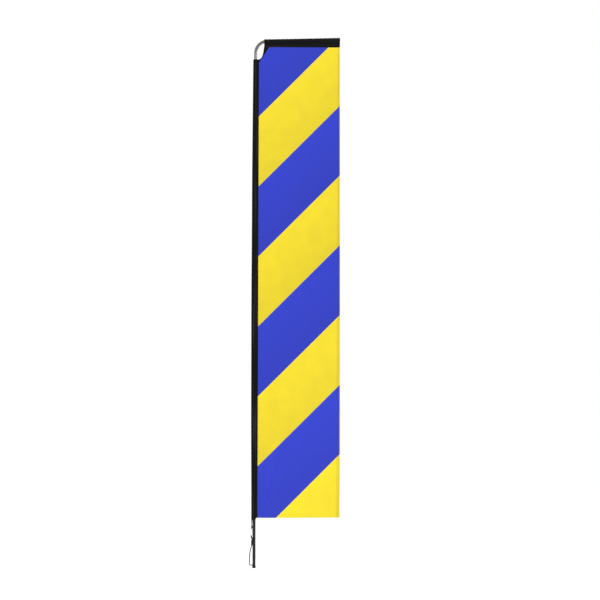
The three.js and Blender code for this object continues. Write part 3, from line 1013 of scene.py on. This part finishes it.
def add_pole(looks):
    """Pole sections, ferrules and rivets, each on its own body."""
    bodies = ["pole_foot", "section_2", "section_3", "section_4"]
    bore = TUBE_RADIUS - TUBE_WALL
    ferrule_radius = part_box("ferrule_1")[1].x
    for number, body in enumerate(bodies, 1):
        node = f"pole_section_{number}"
        section = pipe(node + "_tube", TUBE_RADIUS, bore, *node_span(node), looks["pole"], "pole_tube")
        stand_in(section, node, body)
        if number == len(bodies):
            continue
        node = f"ferrule_{number}"
        inner = ferrule_radius - FERRULE_WALL
        ferrule = pipe(node + "_tube", ferrule_radius, inner, *node_span(node), looks["ferrule"], "ferrule")
        stand_in(ferrule, node, body)
        low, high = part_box(f"ferrule_rivet_{number}")
        place = Matrix.Translation((0, 0, (low.z + high.z) / 2))
        add_rivet(looks, f"ferrule_rivet_{number}", body, low.y, high.y, place)


def add_rivet(looks, node, body, foot, head, place):
    """Blind rivet along +Y from its bulb inside to its domed head."""
    shank, bulb, rim = 1.6 * MM, 2.4 * MM, 3.0 * MM
    seat = head - 1 * MM
    corners = [
        (0, foot),
        (bulb, foot + 0.6 * MM),
        (bulb, foot + 2.7 * MM),
        (shank, foot + 3 * MM),
        (shank, seat),
        (rim, seat),
        (rim * 0.85, seat + 0.65 * MM),
        (0, head),
    ]
    along_y = Matrix.Rotation(-math.pi / 2, 4, "X")
    piece = turned(node + "_head", corners, looks["rivet"], sides=32, place=place @ along_y)
    stand_in(piece, node, body)


def add_foot_collar(looks):
    """Moulded end collar with two grip grooves, pushed over the pole's foot."""
    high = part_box("foot_collar")[1]
    bore, outer = TUBE_RADIUS - TUBE_WALL, high.x
    top = high.z
    sleeve = TUBE_RADIUS + GAP
    groove = 0.5 * MM
    corners = [(bore, 0), (outer - 0.6 * MM, 0), (outer, 0.8 * MM)]
    for z in (7 * MM, 11 * MM):
        corners += [(outer, z), (outer - groove, z + 0.5 * MM)]
        corners += [(outer - groove, z + 1.5 * MM), (outer, z + 2 * MM)]
    corners += [(outer, top - 0.8 * MM), (outer - 0.7 * MM, top)]
    corners += [(sleeve, top), (sleeve, COLLAR_FLOOR), (bore, COLLAR_FLOOR)]
    collar = turned("foot_collar_moulding", corners, looks["plastic"], edge=0.25 * MM)
    stand_in(collar, "foot_collar", "pole_foot")


def add_elbow(looks):
    """Bent tube from the swivel spigot's shoulder round to the arm, and the spigot that it turns on."""
    low, high = node_span("elbow_spigot")
    ferrule_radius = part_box("ferrule_1")[1].x
    inner = ferrule_radius - FERRULE_WALL
    leg_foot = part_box("corner_elbow")[0].z
    shoulder = leg_foot - GAP
    corners = [
        (inner, low),
        (ferrule_radius, low),
        (ferrule_radius, shoulder - SWIVEL_RING),
        (TUBE_RADIUS, shoulder - SWIVEL_RING),
        (TUBE_RADIUS, shoulder),
        (ferrule_radius, shoulder),
        (ferrule_radius, high),
        (inner, high),
    ]
    spigot = turned("elbow_spigot_tube", corners, looks["ferrule"])
    stand_in(spigot, "elbow_spigot", "swivel")

    route = [Vector((0, 0, leg_foot + (BEND_FOOT - leg_foot) * k / 12)) for k in range(12)]
    for k in range(49):
        angle = TURN * k / 48
        x = BEND_RADIUS * (1 - math.cos(angle))
        route.append(Vector((x, 0, BEND_FOOT + BEND_RADIUS * math.sin(angle))))
    route += [BEND_END + ARM_WAY * ELBOW_LEG * k / 12 for k in range(1, 13)]
    edge = 0.4 * MM
    bore = TUBE_RADIUS - TUBE_WALL
    ends = {0: edge, len(route) - 1: edge}

    def wall(radius, sign):
        rings = swept_rings(route, lambda a, s: radius, 64)
        for k in ends:
            rings[k] = [route[k] + (p - route[k]) * ((radius - sign * edge) / radius) for p in rings[k]]
        return rings

    outer, hollow = wall(TUBE_RADIUS, 1), wall(bore, -1)
    rings = [*outer, *reversed(hollow)]
    elbow = ring_piece("corner_elbow_tube", rings, looks["silver"], capped=False, along=True)
    stand_in(elbow, "corner_elbow", "top")


def arm_frame():
    """The arm's own frame: +Z along the arm from the end of the bend."""
    return Matrix.Translation(BEND_END) @ Matrix.Rotation(math.pi / 2 - ARM_RISE, 4, "Y")


def way_along_arm(point):
    """How far along the arm a point lies, from the end of the bend."""
    return (Vector(point) - BEND_END).dot(ARM_WAY)


def add_arm(looks):
    """Tube, ferrule, rivet and end cap inside the top sleeve."""
    place = arm_frame()
    bore = TUBE_RADIUS - TUBE_WALL
    ferrule_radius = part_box("ferrule_1")[1].x
    start = ELBOW_LEG + GAP
    cap_end = (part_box("arm_end_cap")[1].x - BEND_END.x) / math.cos(ARM_RISE)
    end = cap_end - CAP_FLANGE
    tube = pipe("arm_tube_bar", TUBE_RADIUS, bore, start, end, looks["silver"], "elbow_tube", place)
    ferrule = pipe(
        "arm_ferrule_tube",
        ferrule_radius,
        ferrule_radius - FERRULE_WALL,
        BEND_TO_FERRULE,
        2 * ELBOW_LEG,
        looks["ferrule"],
        "ferrule",
        place,
    )
    cap = turned(
        "arm_cap_moulding",
        [
            (0, end - CAP_REACH),
            (ferrule_radius - 0.8 * MM, end - CAP_REACH),
            (ferrule_radius, end - CAP_REACH + 3 * MM),
            (ferrule_radius, end + GAP),
            (TUBE_RADIUS, end + GAP),
            (TUBE_RADIUS, cap_end - 1.6 * MM),
            (TUBE_RADIUS - 1.8 * MM, cap_end),
            (0, cap_end),
        ],
        looks["plastic"],
        place=place,
    )
    low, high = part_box("arm_rivet")
    middle = way_along_arm(((low.x + high.x) / 2, 0, (low.z + high.z) / 2))
    add_rivet(looks, "arm_rivet", "top", low.y, high.y, place @ Matrix.Translation((0, 0, middle)))
    for piece, node in ((tube, "arm_tube"), (ferrule, "arm_ferrule"), (cap, "arm_end_cap")):
        stand_in(piece, node, "top")


# ---------------------------------------------------------------- cord, link and knot


def add_cords(looks):
    """The elastic strand, its fittings, and the knotted cord on the link's bar."""
    tab_low, tab_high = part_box("sleeve_tab")
    strand_route = resampled(
        [Vector((STRAND_X, STRAND_Y, STRAND_HIGH.z)), Vector((STRAND_X, STRAND_Y, STRAND_LOW.z))], 0.6 * MM
    )
    strand = braided_cord("elastic_strand", strand_route, CORD_RADIUS, looks["cord"])
    end_low, end_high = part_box("cord_end")
    fitting = add_cord_end(looks, (end_high.x - end_low.x) / 2, end_high.z)
    link = add_link(looks)
    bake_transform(strand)
    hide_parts("tension_cord")
    add_tab(looks, tab_low, tab_high)
    add_knotted_cord(looks)


def add_cord_end(looks, radius, top):
    """Moulded end that grips the strand, with three grip rings, and a flat tongue with the link's eye."""
    foot = top - CORD_END_LENGTH
    socket = CORD_RADIUS + GAP
    grip = 0.5 * MM
    corners = [(0, foot), (radius - 1.2 * MM, foot), (radius, foot + 2.2 * MM)]
    for z in (5, 9, 13):
        at = foot + z * MM
        corners += [(radius, at), (radius - grip, at + 0.5 * MM)]
        corners += [(radius - grip, at + 1.6 * MM), (radius, at + 2.1 * MM)]
    corners += [(radius, top - 1.2 * MM), (radius - 1 * MM, top)]
    corners += [(socket, top), (socket, top - SOCKET_DEPTH), (0, top - SOCKET_DEPTH)]
    place = Matrix.Translation((STRAND_X, STRAND_Y, 0))
    barrel = turned("cord_end_barrel", corners, looks["plastic"], place=place)
    stand_in(barrel, "cord_end", "tension")

    half, eye_radius = TONGUE_WIDTH / 2, LINK_WIRE + EYE_EASE
    eye_height = foot - TONGUE_DROP + half

    def on_circle(radius, angle):
        return radius * math.cos(angle), eye_height + radius * math.sin(angle)

    arc = [on_circle(half, math.pi * (1 + k / 24)) for k in range(25)]
    outline = [*arc, (half, foot + 2 * MM), (-half, foot + 2 * MM)]
    eye = [on_circle(eye_radius, TAU * k / 32) for k in range(32)]
    stand = Matrix(((0, 0, 1, STRAND_X), (1, 0, 0, STRAND_Y), (0, 1, 0, 0), (0, 0, 0, 1)))
    holed = [outline, eye]
    soft = 0.35 * MM
    tongue = plate("cord_end_tongue", holed, TONGUE_THICKNESS, soft, looks["plastic"], stand)
    tongue.parent = barrel
    return barrel


def add_link(looks):
    """Bent-wire link that hangs in the eye, its two ends meeting at one side."""
    top = (LINK_HIGH.z - LINK_WIRE) / MM + 0.1
    foot = (LINK_LOW.z + LINK_WIRE) / MM
    shoulder = foot + 24
    corners = [
        (-LINK_OUT, shoulder),
        (-LINK_OUT, foot + 7),
        (4 - LINK_OUT, foot + 1),
        (8 - LINK_OUT, foot),
        (LINK_IN - 4, foot),
        (LINK_IN - 0.6, foot + 2.5),
        (LINK_IN, foot + 7),
        (LINK_IN + 0.2, shoulder),
        (4.2, top - 4),
        (1.8, top - 0.1),
        (-1.8, top - 0.1),
        (-5.4, top - 6),
        (-LINK_OUT, shoulder + 0.5),
    ]
    points = [(STRAND_X + x * MM, STRAND_Y, z * MM) for x, z in corners]
    route = smooth_route(points, 0.8 * MM)
    rings = swept_rings(route, lambda a, s: LINK_WIRE, 24)
    link = ring_piece("wire_link", rings, looks["wire"])
    stand_in(link, "tension_link", "tension")
    return link


def add_tab(looks, low, high):
    """Webbing tab folded round the strand's end: full over the strand, flat and sewn at its two sides."""
    centre_x, centre_y = (low.x + high.x) / 2, (low.y + high.y) / 2
    half_width, full, flat = (high.y - low.y) / 2, (high.x - low.x) / 2, 1.9 * MM
    section = []
    for k in range(-16, 17):
        y = half_width * k / 16
        bulge = flat + (full - flat) * math.exp(-((y / (4.2 * MM)) ** 4))
        section.append((bulge if abs(k) < 16 else 0.8 * MM, y))
    section += [(-x, y) for x, y in reversed(section)]
    inner = []
    for x, y in section:
        reach = Vector((x, y))
        inner.append(tuple(reach.normalized() * min(reach.length - 0.5 * MM, CORD_RADIUS + 0.35 * MM)))
    head = high.z + 8 * MM  # runs on up inside the sleeve's foot
    heights = [low.z + (head - low.z) * k / 16 for k in range(17)]
    socket_top = STRAND_HIGH.z + 0.5 * MM
    outer_rings = [[Vector((centre_x + x, centre_y + y, z)) for x, y in section] for z in heights]
    hole = [[Vector((centre_x + x, centre_y + y, z)) for x, y in inner] for z in (socket_top, low.z)]
    tab = ring_piece("webbing_tab", [hole[0], hole[1], *outer_rings], looks["webbing"], sharp=50)
    stand_in(tab, "sleeve_tab", "top")
    runs = []
    for side in (-1, 1):
        for edge in (-1, 1):
            x = centre_x + side * (flat + 0.1 * MM)
            y = centre_y + edge * 0.78 * half_width
            line = [Vector((x, y, z)) for z in (low.z + 2 * MM, high.z - 2 * MM)]
            runs.append(seam_run(line, Vector((side, 0, 0))))
    sewing = stitches("tab_stitching", runs, looks["black_thread"])
    sewing.parent = tab


def loop_route(points, spacing):
    """A route given in millimetres from the middle of the link's bar."""
    bar = Vector((STRAND_X + (8 - LINK_OUT) * MM, STRAND_Y, LINK_LOW.z + LINK_WIRE))
    return smooth_route([bar + Vector(p) * MM for p in points], spacing)


def add_knotted_cord(looks):
    """One cord: a bight round the link's bar, a knot of wound turns, and the long loop that hangs from it."""
    wire = LINK_WIRE / MM
    over = wire + CORD_RADIUS / MM + BIGHT_EASE
    bar_height = LINK_LOW.z + LINK_WIRE
    knot_top = (KNOT_HIGH.z - bar_height) / MM
    knot_foot = (KNOT_LOW.z - bar_height) / MM
    upper_end, lower_end = knot_top + 0.6, knot_foot - 0.6
    upper_route = loop_route(
        [
            (16, -20.5, upper_end - 7),
            (14, -18, -17.5),
            (9, -12, -12),
            (5, -2, -9),
            (2, 5.5, -6),
            (0.5, over + 1.7, 0),
            (0, over - 1.3, over - 1.1),
            (-0.5, 0, over),
            (-1, 1.3 - over, over - 1.1),
            (-1.5, -over - 1.9, 0.5),
            (-1, -13, -6),
            (3, -20, -12),
            (6, -23.5, -18),
            (7, -24, upper_end - 7),
        ],
        0.7 * MM,
    )
    lower_route = loop_route(
        [
            (2.5, -24, lower_end),
            (2.5, -24, -79),
            (-5, -21, -101),
            (-10, -19, -126),
            (-13.5, -17.5, -166),
            (-15.5, -16.5, -204),
            (-16, -16.5, -224),
            (-11.5, -16.5, -235.5),
            (0, -16.5, -240),
            (11.5, -16.5, -235.5),
            (16, -16.5, -224),
            (16.5, -16.5, -186),
            (17, -17, -141),
            (18, -20, -101),
            (19, -23.5, -79),
            (19, -23.5, lower_end),
        ],
        0.7 * MM,
    )
    upper = braided_cord("upper_bight_cord", upper_route, CORD_RADIUS, looks["cord"])
    lower = braided_cord("hanging_loop_cord", lower_route, CORD_RADIUS, looks["cord"])
    knot = add_knot(looks, upper_route, lower_route)
    for piece, node in ((upper, "upper_bight"), (lower, "hanging_loop"), (knot, "loop_knot")):
        stand_in(piece, node, "loop")


def add_knot(looks, upper_route, lower_route):
    """Six turns of the cord wound round its own two strands, with a tail tucked down through them."""
    centre = (KNOT_LOW + KNOT_HIGH) / 2
    radius = (KNOT_HIGH.x - KNOT_LOW.x) / 2 - CORD_RADIUS
    low, high = KNOT_LOW.z + CORD_RADIUS, KNOT_HIGH.z - CORD_RADIUS
    turns = 6
    wound = []
    for k in range(24 * turns + 1):
        share = k / (24 * turns)
        angle = TAU * turns * share
        swell = radius * (1 - 0.10 * (2 * share - 1) ** 4 - 0.02 * math.sin(3 * angle))
        z = low + (high - low) * share + 0.9 * MM * math.sin(angle)
        wound.append(Vector((centre.x + swell * math.cos(angle), centre.y + swell * math.sin(angle), z)))
    mesh = bmesh.new()
    add_rings(mesh, swept_rings(resampled(wound, 1.1 * MM), braid(CORD_RADIUS), 24), capped=True)
    for top, foot in ((upper_route[-1], lower_route[0]), (upper_route[0], lower_route[-1])):
        rise = Vector((0, 0, 1 * MM))
        through = [top + rise, top.lerp(foot, 0.12), centre.lerp(top, 0.3)]
        through += [centre.lerp(foot, 0.3), foot.lerp(top, 0.12), foot - rise]
        add_rings(mesh, swept_rings(smooth_route(through, 1.4 * MM), braid(CORD_RADIUS), 20), capped=True)
    return finish_mesh("wound_knot", mesh, looks["cord"], sharp=80)


# ---------------------------------------------------------------- the floor


def add_floor():
    """Large pale disc that fades out before its rim."""
    look = Look("floor", Roughness=0.9)
    x, y, _ = look.place()
    reach = look.math("SQRT", look.math("ADD", look.math("MULTIPLY", x, x), look.math("MULTIPLY", y, y)))
    look.set("Base Color", look.mix(look.noise(3, 3), (0.90, 0.90, 0.90), (0.94, 0.94, 0.94)))
    look.set("Emission Color", (1.0, 1.0, 1.0))
    look.set("Emission Strength", 0.38)
    look.set("Alpha", look.span(reach, 1.5, 9.0, 1, 0, smooth=True))
    ways = [Vector((math.cos(TAU * k / 96), math.sin(TAU * k / 96), 0)) for k in range(96)]
    rings = [[way * r for way in ways] for r in (0.001, 3, 7, 12)]
    mesh = bmesh.new()
    add_rings(mesh, rings)
    floor = finish_mesh("floor", mesh, look.material)
    floor.location.z = cad_box[0][2] - 0.5 * MM


# ---------------------------------------------------------------- the whole scene

add_camera()
add_world()
add_light("key", (5.5, -7.0, 7.5), (0.3, 0, 2.4), 3.0, 410)
add_light("fill", (-6.0, -7.0, 3.5), (0.3, 0, 2.2), 4.0, 140)
add_light("back", (2.0, 7.0, 6.0), (0.3, 0, 2.4), 3.0, 220)
add_light("rim", (5.0, 0.6, 1.6), (0, 0, 1.6), 2.5, 70)

scene_looks = {
    "print": print_look(),
    "black": black_cloth_look(),
    "webbing": webbing_look(),
    "cord": cord_look(),
    "plastic": plastic_look(),
    "pole": pole_look(),
    "silver": metal_look("elbow_tube", (0.2, 0.2, 0.205), (0.34, 0.34, 0.345), 0.26, (900, 5, 1), "Metres"),
    "ferrule": metal_look("ferrule", (0.5, 0.51, 0.52), (0.7, 0.71, 0.72), 0.32, (8, 8, 900)),
    "rivet": metal_look("rivet", (0.5, 0.5, 0.5), (0.66, 0.66, 0.66), 0.4, (500, 500, 500)),
    "wire": metal_look("link_wire", (0.55, 0.56, 0.57), (0.78, 0.78, 0.78), 0.28, (300, 300, 300)),
    "pale_thread": thread_look("pale_thread", (0.75, 0.7, 0.5)),
    "black_thread": thread_look("black_thread", (0.03, 0.03, 0.03)),
}

add_cords(scene_looks)
add_banner(scene_looks)
add_side_sleeve(scene_looks)
add_top_sleeve(scene_looks)
add_end_patch(scene_looks)
add_corner_binding(scene_looks)
add_pole(scene_looks)
add_foot_collar(scene_looks)
add_elbow(scene_looks)
add_arm(scene_looks)
add_floor()

bpy.context.scene.view_settings.view_transform = "Standard"
